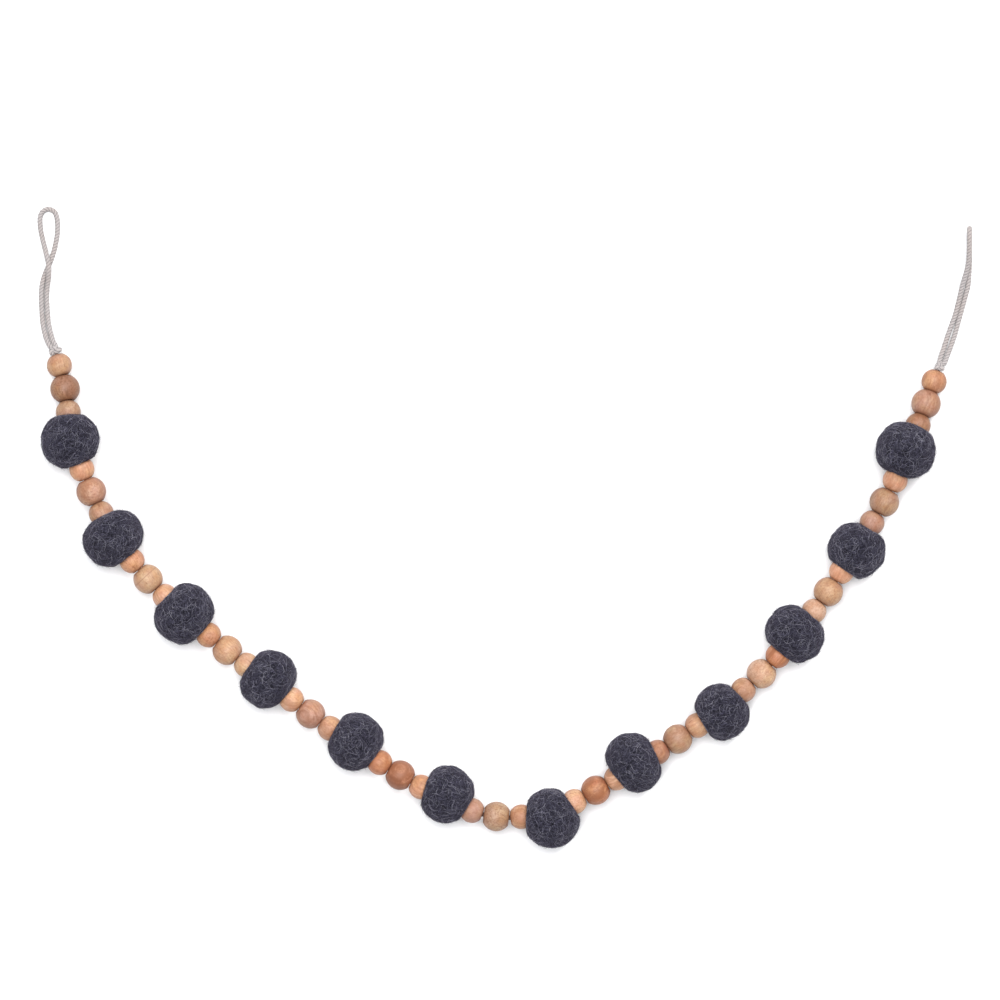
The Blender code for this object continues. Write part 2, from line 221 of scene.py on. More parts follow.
# %% Helpers for materials
class Finish(NodeWriter):
    """A material with one Principled shader."""

    def __init__(self, name, **constants):
        self.material = bpy.data.materials.new(name)
        self.material.use_nodes = True
        self.tree = self.material.node_tree
        self.shader = self.tree.nodes["Principled BSDF"]
        for label, value in constants.items():
            self.shader.inputs[label.replace("_", " ")].default_value = value

    def place(self):
        """The point's place on the object."""
        return self.add("ShaderNodeTexCoord", out=3)

    def attribute(self, name, out=2):
        """A value kept on the shape: out 1 is a vector, and 2 a number."""
        return self.add("ShaderNodeAttribute", attribute_name=name, out=out)

    def spread(self, vector, scale):
        """The same place, stretched differently along its three directions."""
        return self.add("ShaderNodeMapping", {"Vector": vector, "Scale": scale})

    def cloud(self, vector, scale=1.0, detail=2.0, roughness=0.5, distortion=0.0):
        """Soft noise from 0 to 1."""
        return self.add("ShaderNodeTexNoise", {
            "Vector": vector, "Scale": scale, "Detail": detail,
            "Roughness": roughness, "Distortion": distortion})

    def between(self, value, low, high, to_low=0.0, to_high=1.0):
        """A number moved from one range to another, and kept inside it."""
        return self.add("ShaderNodeMapRange", {
            "Value": value, "From Min": low, "From Max": high, "To Min": to_low, "To Max": to_high})

    def blend(self, share, first, second, how="MIX"):
        """Two colours mixed by a share."""
        return self.add("ShaderNodeMix", {0: share, 6: first, 7: second}, out=2,
                        data_type="RGBA", blend_type=how)

    def times(self, colour, other):
        """One colour multiplied by another."""
        return self.blend(1.0, colour, other, how="MULTIPLY")

    def bump(self, height, distance, strength=1.0, before=None):
        """A relief from a height of 0 to 1, this many metres high."""
        values = {"Height": height, "Distance": distance, "Strength": strength}
        if before is not None:
            values["Normal"] = before
        return self.add("ShaderNodeBump", values)

    def finish(self, **outputs):
        """Link what was made to the shader."""
        for label, value in outputs.items():
            self.tree.links.new(value, self.shader.inputs[label.replace("_", " ")])
        return self.material


# %% [markdown]
# ## The finish of the cord
# The cord is undyed cotton, three strands laid together. It is a greyish off-white, and the
# grooves between the strands are painted darker, as painted shade. The shape keeps how high each
# point stands on its strand, so the painted shade can follow the lay without any picture.

# %% Cotton finish
COTTON = (0.385, 0.355, 0.350, 1)
# painted shade: the dark colour of the grooves between the strands, also used for small dark flecks
COTTON_SHADE_AND_FLECK = (0.110, 0.098, 0.110, 1)
COTTON_WARM = (0.375, 0.325, 0.305, 1)
NO_GAP_SHADE = (1, 1, 1, 1)
# painted shade: dark brown tint for the cord that shows in the gaps between the beads
GAP_SHADE = (0.40, 0.28, 0.25, 1)


def make_cotton(name, gap_shade_tint):
    """Undyed twisted cotton, multiplied by a tint: white for the loops, dark brown as painted shade for
    the cord seen between beads.
    """
    finish = Finish(name, Sheen_Weight=0.25, Sheen_Roughness=0.5, Specular_IOR_Level=0.2)
    place = finish.place()
    crown = finish.attribute("crown")
    fine = finish.cloud(place, 2600, detail=3, roughness=0.6)
    broad = finish.cloud(place, 140, detail=1)
    warm = finish.blend(finish.between(broad, 0.35, 0.7, 0.0, 0.6), COTTON, COTTON_WARM)
    # painted shade: the lower a point lies in a groove between strands, the darker it is painted
    groove_shade_share = finish.between(crown, 0.1, 0.75, 0.85, 0.0)
    groove_shaded = finish.blend(groove_shade_share, warm, COTTON_SHADE_AND_FLECK)
    flecked = finish.blend(finish.between(fine, 0.52, 0.75, 0.0, 0.25), groove_shaded, COTTON_SHADE_AND_FLECK)
    # painted shade: the whole cord is multiplied by the tint, which darkens the cord seen between beads
    worn = finish.times(flecked, gap_shade_tint)
    roughness = finish.between(fine, 0.2, 0.8, 0.78, 0.95)
    relief = finish.bump(fine, 0.12 * MM, 0.7)
    return finish.finish(Base_Color=worn, Roughness=roughness, Normal=relief)


cotton = make_cotton("undyed_cotton", NO_GAP_SHADE)
soiled_cotton = make_cotton("soiled_cotton", GAP_SHADE)
print("cotton finishes:", cotton.name, "and", soiled_cotton.name)

# %% [markdown]
# ## The laid cord
# Three strands are twisted together to the right, so their ridges climb like the stroke of a Z.
# A curve carries the route. The recipe turns the cross-section steadily along it, and the
# section has three lobes, so the strands come out as real ridges. That is cheaper than three
# separate strands, and it stays one closed skin.

# %% Recipe for laid cord
CORD_WIDTH = 2.35 * MM
CORD_LAY = 5.1 * MM
CORD_STRANDS = 3
CORD_GROOVE = 0.24
CORD_FULLNESS = 1.15
SIDES_PER_STRAND = 8
STEPS_PER_LAY = 14
CROWN_FULLNESS = 0.55


def laid_cord_recipe():
    """Sweeps a lobed section along a curve, turning as it goes."""
    recipe = Recipe("laid cord", Width="Float", Lay="Float", Groove="Float", Finish="Material")
    add, maths = recipe.add, recipe.maths
    given = recipe.given
    length = add("GeometryNodeSplineParameter", out="Length")
    turns = maths("DIVIDE", length, given["Lay"])
    path = add("GeometryNodeSetCurveNormal", {0: given["Shape"]}, mode="MINIMUM_TWIST")
    tilt = maths("MULTIPLY", turns, math.tau)
    path = add("GeometryNodeSetCurveTilt", {0: path, 2: tilt})
    radius = maths("MULTIPLY", given["Width"], 0.5)
    section = add("GeometryNodeCurvePrimitiveCircle", {
        0: CORD_STRANDS * SIDES_PER_STRAND, 4: radius}, mode="RADIUS")
    around = add("GeometryNodeSplineParameter")
    wave = maths("COSINE", maths("MULTIPLY", around, math.pi * CORD_STRANDS))
    crown = maths("POWER", maths("ABSOLUTE", wave), CROWN_FULLNESS)
    section = recipe.store(section, "crown", crown)
    sunk = maths("MULTIPLY", maths("SUBTRACT", 1.0, crown), given["Groove"])
    here = add("GeometryNodeInputPosition")
    lobed = recipe.stretch(here, maths("SUBTRACT", 1.0, sunk))
    section = add("GeometryNodeSetPosition", {0: section, 2: lobed})
    skin = add("GeometryNodeCurveToMesh", {0: path, 1: section, 3: True})
    skin = add("GeometryNodeSetShadeSmooth", {0: skin})
    skin = add("GeometryNodeRealizeInstances", {0: skin})
    return recipe.finish(add("GeometryNodeSetMaterial", {0: skin, 2: given["Finish"]}))


laid_cord = laid_cord_recipe()
print("cord recipe:", len(laid_cord.nodes), "nodes")

# %% Laying a cord
ROUTE_SAMPLES = 24


def curve_point(before, start, end, after, share):
    """Point on a smooth curve between start and end, shaped by the points around them."""
    first = (end - before) / 2
    second = (after - start) / 2
    cubic = 2 * (start - end) + first + second
    square = 3 * (end - start) - 2 * first - second
    return start + first * share + square * share ** 2 + cubic * share ** 3


def smooth_route(points, spacing):
    """Evenly spaced points along the smooth curve through a route's points."""
    route = [Vector(point) for point in points]
    padded = [route[0] * 2 - route[1], *route, route[-1] * 2 - route[-2]]
    fine = [route[0]]
    for index in range(1, len(padded) - 2):
        four_points = padded[index - 1:index + 3]
        for step in range(1, ROUTE_SAMPLES + 1):
            fine.append(curve_point(*four_points, step / ROUTE_SAMPLES))
    fine = np.array(fine)
    lengths = np.concatenate([[0], np.linalg.norm(np.diff(fine, axis=0), axis=1).cumsum()])
    wanted = np.linspace(0, lengths[-1], round(lengths[-1] / spacing) + 1)
    return np.stack([np.interp(wanted, lengths, fine[:, axis]) for axis in range(3)], axis=1)


def route_length(route):
    """Length of a route in metres."""
    return float(np.linalg.norm(np.diff(route, axis=0), axis=1).sum())


def lay_cord(name, route, width=CORD_WIDTH, finish=cotton):
    """A twisted cord along an evenly spaced route."""
    curve = bpy.data.curves.new(name, "CURVE")
    curve.dimensions = "3D"
    spline = curve.splines.new("POLY")
    spline.points.add(len(route) - 1)
    for spot, point in zip(spline.points, route):
        spot.co = (*point, 1.0)
    piece = link_piece(name, curve)
    follow(piece, laid_cord, Width=width * CORD_FULLNESS, Lay=CORD_LAY, Groove=CORD_GROOVE,
           Finish=finish)
    return plain_piece(piece)


print("cord width", CORD_WIDTH, "and one turn of its strands every", CORD_LAY, "metres")

# %% [markdown]
# ## The hanging loops
# Each loop leaves its knot, runs out, turns round and comes back. The left one lies open on the
# surface as a narrow eye. The right one stands on its edge, so from above its far end looks like
# a single strand. The routes are the same as in the solids, point for point.

# %% Hanging loops
LEFT_LOOP_ROUTE = (
    (-224.4, 128.0, 4.9), (-225.8, 130.6, 4.1), (-227.3, 135.7, 2.6), (-228.3, 140.8, 1.6),
    (-228.8, 146.9, 1.3), (-229.1, 152.5, 1.3), (-228.8, 157.6, 1.5), (-228.2, 161.7, 2.6),
    (-227.9, 165.8, 3.9), (-228.1, 169.9, 4.0), (-228.9, 173.7, 3.6), (-230.0, 178.0, 2.3),
    (-231.2, 182.6, 1.4), (-232.2, 187.7, 1.3), (-232.5, 193.0, 1.3), (-231.3, 196.4, 1.3),
    (-228.2, 197.8, 1.3), (-225.1, 196.4, 1.3), (-223.8, 193.1, 1.3), (-223.5, 188.9, 1.3),
    (-223.7, 184.6, 1.3), (-224.5, 180.1, 1.3), (-225.6, 175.5, 1.3), (-226.8, 171.9, 1.3),
    (-228.3, 168.4, 1.3), (-229.8, 165.0, 1.3), (-231.0, 161.2, 1.3), (-231.7, 156.6, 1.3),
    (-231.8, 152.0, 1.3), (-231.6, 146.4, 1.3), (-231.2, 140.8, 1.5), (-230.3, 135.7, 2.4),
    (-228.9, 131.1, 3.8), (-227.3, 127.8, 4.9),
)
RIGHT_LOOP_ROUTE = (
    (227.4, 119.5, 4.8), (228.4, 123.0, 3.9), (229.7, 126.5, 2.8), (231.7, 132.7, 1.7),
    (233.5, 137.8, 1.4), (235.4, 142.9, 1.4), (236.8, 148.0, 1.7), (238.0, 153.1, 2.3),
    (238.9, 157.6, 3.2), (240.0, 161.7, 4.3), (241.2, 166.3, 5.8), (242.0, 170.4, 7.2),
    (242.3, 175.5, 8.8), (242.4, 180.0, 9.8), (242.4, 183.4, 10.1), (242.5, 186.5, 8.8),
    (242.7, 187.8, 5.7), (242.9, 186.5, 2.6), (243.0, 183.4, 1.3), (243.0, 179.4, 1.3),
    (243.0, 175.0, 1.3), (242.9, 170.4, 1.3), (242.8, 166.3, 1.3), (242.5, 161.7, 1.3),
    (242.0, 157.6, 1.3), (240.8, 153.1, 1.3), (239.4, 148.0, 1.3), (238.0, 142.9, 1.3),
    (236.6, 137.8, 1.3), (235.1, 132.7, 1.7), (232.9, 126.5, 2.8), (231.4, 122.7, 3.9),
    (230.0, 119.2, 4.8),
)
LOOP_TUCK = 0.45


def node_middle(node):
    """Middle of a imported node's box."""
    low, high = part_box(node)
    return (Vector(low) + Vector(high)) / 2


def hanging_loop(side, table):
    """One free loop, with both its ends tucked into its knot."""
    knot = node_middle("knot_" + side)
    points = [Vector(row) * MM for row in table]
    tucked = [points[0].lerp(knot, LOOP_TUCK), *points, points[-1].lerp(knot, LOOP_TUCK)]
    route = smooth_route(tucked, CORD_LAY / STEPS_PER_LAY)
    piece = lay_cord("cord_loop_" + side, route)
    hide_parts("loop_" + side)
    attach(piece, "root")
    tuple(tucked[0])
    print(piece.name, "length", round(route_length(route), 4), "triangles", triangle_count(piece))
    return piece


hanging_loop("left", LEFT_LOOP_ROUTE)
hanging_loop("right", RIGHT_LOOP_ROUTE)

# %% [markdown]
# ## Where the beads sit
# A turned bead is the same all the way round its hole, so its box gives its middle. The corners
# of its mesh spread furthest along the hole, which gives the direction of the cord there.

# %% Places of the beads
BEAD_GROUPS = 13
BALL_COUNT = 12
BeadSize = namedtuple("BeadSize", "width length")
LARGE_BEAD = BeadSize(width=15.1 * MM, length=12.7 * MM)
SMALL_BEAD = BeadSize(width=12.8 * MM, length=10.7 * MM)
BeadPlace = namedtuple("BeadPlace", "centre axis size")


def bead_place(node, size):
    """Middle and direction of one bead, from left to right along the cord."""
    mesh = frame["nodes"][node].data
    corners = np.empty(len(mesh.vertices) * 3, np.float32)
    mesh.vertices.foreach_get("co", corners)
    corners = np.unique(corners.reshape(-1, 3).round(6), axis=0).astype(float)
    centre = node_middle(node)
    offsets = corners - np.array(centre)
    axis = Vector(np.linalg.eigh(offsets.T @ offsets)[1][:, 2])
    if axis.x < 0:
        axis.negate()
    return BeadPlace(centre, axis, size)


def small_bead_name(group, turn):
    """Name of the first or second small bead of a group."""
    return f"bead_small_{2 * group - 1 + turn:02d}"


places = {}
for group in range(1, BEAD_GROUPS + 1):
    places[f"bead_large_{group:02d}"] = bead_place(f"bead_large_{group:02d}", LARGE_BEAD)
    for turn in (0, 1):
        name = small_bead_name(group, turn)
        places[name] = bead_place(name, SMALL_BEAD)
print("beads placed:", len(places))

# %% [markdown]
# ## The finish of the wood
# The beads are plain hardwood, turned, drilled and only lightly waxed. Each one comes from
# another bit of wood, so some are pale, some orange and two are brown. Inside one bead the tint
# wanders from ochre to pink. Fine pores run along the grain, faint rings run round where the
# chisel went, and short dark flecks show. The pattern reads a place that is kept on each bead,
# so no two beads look the same. The ends and the mouths of the hole are painted darker, as
# painted shade where the beads meet.

# %% Wood finishes
WOOD_TINTS = {
    "wood_pale": (0.510, 0.342, 0.235, 1),
    "wood_peach": (0.500, 0.306, 0.204, 1),
    "wood_orange": (0.460, 0.250, 0.149, 1),
    "wood_tan": (0.437, 0.275, 0.182, 1),
    "wood_rose": (0.396, 0.234, 0.168, 1),
    "wood_brown": (0.305, 0.172, 0.110, 1),
}
PORE_SCALE = (1300, 1300, 200)
RING_SCALE = (80, 380, 50)
LATHE_PER_METRE = 1500
CUT_LINE_WIDTH = 0.38 * MM
FLECK_SCALE = (420, 420, 130)
OCHRE = (1.02, 1.015, 0.90, 1)
PINK = (1.00, 0.970, 1.02, 1)
DARKER = (0.54, 0.41, 0.33, 1)
REDDISH = (0.86, 0.68, 0.56, 1)
# dark brown for the painted shade at the bead ends and hole mouths, and for the stains on a few beads
SHADE_AND_STAIN_TINT = (0.42, 0.28, 0.21, 1)


def toned(tint, factors):
    """A tint with each channel multiplied by its own factor."""
    return tuple(channel * factor for channel, factor in zip(tint, factors))


def make_wood(name, tint):
    """Lightly waxed turned wood of one tint."""
    finish = Finish("turned_" + name, Specular_IOR_Level=0.38)
    attribute, between, cloud, maths = finish.attribute, finish.between, finish.cloud, finish.maths
    grain = attribute("grain", out=1)
    height = attribute("height")
    rings = cloud(finish.spread(grain, RING_SCALE), detail=3, roughness=0.62, distortion=0.9)
    pores = cloud(finish.spread(grain, PORE_SCALE), detail=3, roughness=0.7)
    flecks = cloud(finish.spread(grain, FLECK_SCALE), detail=1.0)
    patches = cloud(grain, 230, detail=3, roughness=0.65)
    mottle = cloud(grain, 1000, detail=3, roughness=0.75)
    broad = cloud(grain, 120, detail=1.5)
    along = finish.add("ShaderNodeCombineXYZ", {2: maths("MULTIPLY", height, LATHE_PER_METRE)})
    lathe = cloud(along, detail=2)
    off_cut = maths("ABSOLUTE", maths("SUBTRACT", height, attribute("cut")))
    ring_share = maths("MULTIPLY", between(rings, 0.44, 0.58), attribute("figure"))
    hue = finish.blend(between(broad, 0.42, 0.58), OCHRE, PINK)
    colour = finish.blend(between(patches, 0.35, 0.66, 0.0, 0.9), tint, toned(tint, REDDISH))
    colour = finish.times(colour, hue)
    dark_shares = (
        maths("MULTIPLY", ring_share, 0.85),
        between(pores, 0.50, 0.70, 0.0, 0.7),
        maths("MULTIPLY", between(mottle, 0.48, 0.63), attribute("mottle")),
        between(flecks, 0.70, 0.76, 0.0, 0.8),
        between(lathe, 0.6, 0.8, 0.0, 0.2),
        between(off_cut, 0.0, CUT_LINE_WIDTH, 0.9, 0.0),
    )
    for share in dark_shares:
        colour = finish.blend(share, colour, toned(tint, DARKER))
    # painted shade at the ends and hole mouths, and real stains, both mix the wood towards one dark
    # brown
    colour = finish.blend(attribute("worn"), colour, toned(tint, SHADE_AND_STAIN_TINT))
    colour = finish.times(colour, attribute("tone", out=1))
    roughness = between(pores, 0.3, 0.75, 0.46, 0.62)
    relief = finish.bump(pores, 0.06 * MM, 0.6)
    relief = finish.bump(lathe, 0.03 * MM, 0.5, before=relief)
    return finish.finish(Base_Color=colour, Roughness=roughness, Normal=relief)


wood = {name: make_wood(name, tint) for name, tint in WOOD_TINTS.items()}
print("wood finishes:", ", ".join(wood))

# %% [markdown]
# ## The turned beads
# A bead starts as a rod in a lathe. It is drilled, rounded, and cut off, which leaves a small
# flat at both ends. The half section is drawn once and spun round the hole, with the edge of the
# flat and the mouth of the hole eased as sandpaper leaves them.

# %% Marks on single beads
Mark = namedtuple("Mark", "figure mottle cut stain stain_way stain_reach", defaults=(
    None, None, None, 0.0, (0, 0, 1), 0.5))
BEAD_MARKS = {
    "bead_large_01": Mark(figure=0.5, mottle=1.0),
    "bead_large_02": Mark(stain=0.35, stain_way=(-0.9, 0.2, 0.4)),
    "bead_large_03": Mark(figure=0.1, mottle=0.35, cut=-0.13),
    "bead_large_05": Mark(figure=0.9, mottle=0.5, stain=0.3, stain_way=(0.3, -0.9, 0.3)),
    "bead_large_06": Mark(figure=1.0, mottle=0.9, cut=0.14, stain=0.6, stain_way=(-0.5, -0.6, 0.6),
                          stain_reach=0.72),
    "bead_large_07": Mark(figure=0.35, mottle=1.0),
    "bead_large_08": Mark(figure=0.8, mottle=0.7),
    "bead_large_11": Mark(figure=0.2, mottle=0.6),
    "bead_small_10": Mark(stain=0.5, stain_way=(0.6, -0.4, 0.6), stain_reach=0.75),
    "bead_small_12": Mark(stain=0.55, stain_way=(0.2, 0.3, 0.9), stain_reach=0.93),
    "bead_small_16": Mark(figure=1.0, mottle=0.4),
    "bead_small_20": Mark(figure=0.9, mottle=0.3),
}
UNMARKED_CUT = 1.0
LARGE_SHADES = {1.25: (6,), 1.1: (2, 4, 5), 0.9: (3, 9), 0.8: (7, 8, 12)}
SMALL_SHADES = {
    1.4: (16, 22), 1.25: (3, 24), 1.1: (5, 6, 9, 14, 15), 0.9: (11, 19, 23), 0.8: (2, 4, 17), 0.7: (25,),
}
REDDER = (1.10, 0.95, 0.87)
GREYER = (0.95, 1.01, 1.08)
LARGE_HUES = {REDDER: (6, 8)}
SMALL_HUES = {REDDER: (11, 12, 17, 20), GREYER: (2, 3, 14, 22, 24)}


def bead_tone(node):
    """What a bead's tint is multiplied by, as red, green and blue."""
    large = "large" in node
    number = int(node[-2:])
    shades = LARGE_SHADES if large else SMALL_SHADES
    hues = LARGE_HUES if large else SMALL_HUES
    shade = next((share for share, numbers in shades.items() if number in numbers), 1.0)
    hue = next((channels for channels, numbers in hues.items() if number in numbers), (1, 1, 1))
    return [shade * channel for channel in hue]


print("beads with marks of their own:", len(BEAD_MARKS))

# %% Turned beads
BORE_RADIUS = 1.6 * MM
BEAD_SIDES = 40
BARREL_STEPS = 16
CLOSE_UP = 0.28 * MM
FLAT_EASE = 0.25 * MM
MOUTH_EASE = 0.35 * MM
BEAD_SEED = 23
WIDTH_SPREAD = 0.012
GRAIN_OFFSET = 0.05
# painted shade in the mouth of the hole and at the ends, where the next bead meets this one
MOUTH_SHADE_DEPTH = 0.95
END_SHADE_DEPTH = 0.9
END_SHADE_START = 0.70
STAIN_EDGE = 0.06
MOST_LEAN = 0.35
FIGURE_RANGE = (0.1, 0.8)
MOTTLE_RANGE = (0.35, 0.75)
bead_luck = np.random.default_rng(BEAD_SEED)


def bead_section(size):
    """Half section of a bead, from the mouth of its hole round the outside to the other mouth."""
    half = (size.length + CLOSE_UP) / 2
    radius = size.width / 2
    flat = math.sqrt(radius ** 2 - half ** 2)
    steepest = math.asin((half - FLAT_EASE * 0.6) / radius)
    end = [
        (BORE_RADIUS, half - MOUTH_EASE),
        (BORE_RADIUS + MOUTH_EASE * 0.3, half - MOUTH_EASE * 0.3),
        (BORE_RADIUS + MOUTH_EASE, half),
        (flat - FLAT_EASE, half),
        (flat - FLAT_EASE * 0.2, half - FLAT_EASE * 0.16),
    ]
    angles = np.linspace(steepest, -steepest, BARREL_STEPS)
    barrel = [(radius * math.cos(angle), radius * math.sin(angle)) for angle in angles]
    other_end = [(width, -height) for width, height in reversed(end)]
    return end + barrel + other_end


def end_shade(size, width, height):
    """How dark the painted shade makes a point, in the mouth of the hole and at the ends, from 0 to 1.
    """
    if width < BORE_RADIUS + MOUTH_EASE * 1.5:
        return MOUTH_SHADE_DEPTH
    reach = abs(height) / (size.length / 2)
    return END_SHADE_DEPTH * min(1.0, max(0.0, (reach - END_SHADE_START) / (1 - END_SHADE_START))) ** 2


def stain_share(mark, way):
    """How dark a mark makes the wood at a point, from 0 to 1."""
    over = way.normalized().dot(Vector(mark.stain_way).normalized()) - mark.stain_reach
    return mark.stain * min(1.0, max(0.0, over / STAIN_EDGE))


def turned_bead(node, place):
    """One bead in its place, with its own bit of grain."""
    mark = BEAD_MARKS.get(node, Mark())
    swell = 1 + WIDTH_SPREAD * bead_luck.uniform(-1, 1)
    spin = Matrix.Rotation(bead_luck.uniform(0, math.tau), 3, "Z")
    lean = Matrix.Rotation(bead_luck.uniform(0, MOST_LEAN), 3, "X")
    offset = Vector(bead_luck.uniform(-1, 1, 3)) * GRAIN_OFFSET
    figure = bead_luck.uniform(*FIGURE_RANGE)
    mottle = bead_luck.uniform(*MOTTLE_RANGE)
    stand = place.axis.to_track_quat("Z", "Y").to_matrix()
    shape = bmesh.new()
    grain = shape.verts.layers.float_vector.new("grain")
    height_layer = shape.verts.layers.float.new("height")
    worn = shape.verts.layers.float.new("worn")
    rows = []
    for width, height in bead_section(place.size):
        row = []
        for side in range(BEAD_SIDES):
            angle = math.tau * side / BEAD_SIDES
            swollen = width if width < BORE_RADIUS + MOUTH_EASE * 1.01 else width * swell
            spot = Vector((math.cos(angle) * swollen, math.sin(angle) * swollen, height))
            vertex = shape.verts.new(place.centre + stand @ spot)
            vertex[grain] = spin @ lean @ spot + offset
            vertex[height_layer] = height
            # each point keeps the darker of its painted shade at the ends and its stain
            vertex[worn] = max(end_shade(place.size, width, height), stain_share(mark, stand @ spot))
            row.append(vertex)
        rows.append(row)
    piece = ring_piece("turned_" + node, shape, rows)
    mesh = piece.data
    tones = mesh.attributes.new("tone", "FLOAT_VECTOR", "POINT")
    tones.data.foreach_set("vector", bead_tone(node) * len(mesh.vertices))
    whole = {
        "figure": figure if mark.figure is None else mark.figure,
        "mottle": mottle if mark.mottle is None else mark.mottle,
        "cut": UNMARKED_CUT if mark.cut is None else mark.cut * place.size.length,
    }
    for label, value in whole.items():
        values = mesh.attributes.new(label, "FLOAT", "POINT")
        values.data.foreach_set("value", [value] * len(mesh.vertices))
    mesh.materials.append(wood[slot_of[node]])
    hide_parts(node)
    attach(piece, "root")
    return piece


beads = [turned_bead(node, place) for node, place in places.items()]
print("turned beads:", len(beads), "triangles each", triangle_count(beads[0]))

# %% [markdown]
# ## The finish of the felt
# The wool is a very dark grey with a touch of violet, and under the loose fibres the skin is a
# net of matted strands. Three noises, each drawn out along another direction and bent by a
# slower one, cross each other like the strands do. The fibres run from nearly black to pale
# grey, with a few that are almost white, as in undyed wool blended with black.

# %% Felt finishes
FELT_DARK = (0.004, 0.0038, 0.006, 1)
FELT_MID = (0.023, 0.0220, 0.036, 1)
STRAND_PALE = (0.087, 0.083, 0.120, 1)
FIBRE_DARK = (0.006, 0.0055, 0.010, 1)
FIBRE_MID = (0.067, 0.0645, 0.094, 1)
FIBRE_PALE = (0.33, 0.32, 0.38, 1)
FIBRE_MID_SHADE = 0.6
STRAND_TURNS = ((0.3, 0.2, 0.0), (0.9, 1.3, 0.4), (1.4, 0.5, 1.6))
STRAND_SCALE = (300, 1900, 1900)
STRAND_BEND = 3.5 * MM


def make_felt_skin():
    """The matted body of a ball."""
    finish = Finish("matted_wool", Roughness=0.97, Sheen_Weight=0.1, Sheen_Roughness=0.5,
                    Sheen_Tint=(0.85, 0.72, 1.0, 1), Specular_IOR_Level=0.08)
    place = finish.place()
    slow = finish.add("ShaderNodeTexNoise", {"Vector": place, "Scale": 160.0, "Detail": 1.0}, out=1)
    bent = finish.vector("ADD", place, finish.stretch(slow, STRAND_BEND))
    net = None
    for turn in STRAND_TURNS:
        drawn = finish.add("ShaderNodeMapping", {"Vector": bent, "Rotation": turn})
        strands = finish.cloud(finish.spread(drawn, STRAND_SCALE), detail=1.5, roughness=0.6)
        net = strands if net is None else finish.maths("MAXIMUM", net, strands)
    mottle = finish.cloud(place, 300, detail=2, roughness=0.6)
    colour = finish.blend(finish.between(mottle, 0.35, 0.7), FELT_DARK, FELT_MID)
    # painted shade: where the net of strands dips, between the strands, the skin is painted near black,
    # over the wool's own dark grey
    colour = finish.blend(finish.between(net, 0.50, 0.60, 0.9, 0.0), colour, FELT_DARK)
    colour = finish.blend(finish.between(net, 0.58, 0.74, 0.0, 0.95), colour, STRAND_PALE)
    relief = finish.bump(net, 0.6 * MM, 1.0)
    return finish.finish(Base_Color=colour, Normal=relief)


def make_fibre():
    """The fibres on a ball, each of one shade."""
    finish = Finish("wool_fibre", Roughness=0.85, Specular_IOR_Level=0.15)
    shade = finish.attribute("shade")
    colour = finish.blend(finish.between(shade, 0.0, FIBRE_MID_SHADE), FIBRE_DARK, FIBRE_MID)
    colour = finish.blend(finish.between(shade, FIBRE_MID_SHADE, 1.0), colour, FIBRE_PALE)
    return finish.finish(Base_Color=colour)


felt_skin = make_felt_skin()
felt_fibre = make_fibre()
print("felt finishes:", felt_skin.name, "and", felt_fibre.name)

# %% [markdown]
# ## The recipe for loose fibres
# Wool fibres lie along the skin, crossing each other, and a few stand off it as fuzz. Rolling
# combs them into swirls. The recipe scatters points on the skin, and puts a short bent line on
# each, turned by a slow noise where the wool is combed and by chance where it is loose. It
# presses the line onto the skin, and gives it a thin three-sided body that tapers to both ends.

# %% Recipe for fibres
FIBRE_BENDS = 3
FIBRE_SIDES = 3
FIBRE_TIP = 0.35
FIBRE_FLOOR = 0.08 * MM
BODY_RANGE = (0.55, 1.25)
LENGTH_RANGE = (0.45, 1.5)
STRAY_POWER = 4.5
DRIFT_SCALE = 320.0
SWIRL_SCALE = 55.0
SWIRL_TURNS = 14.0
COMB_HOLD = 5.2


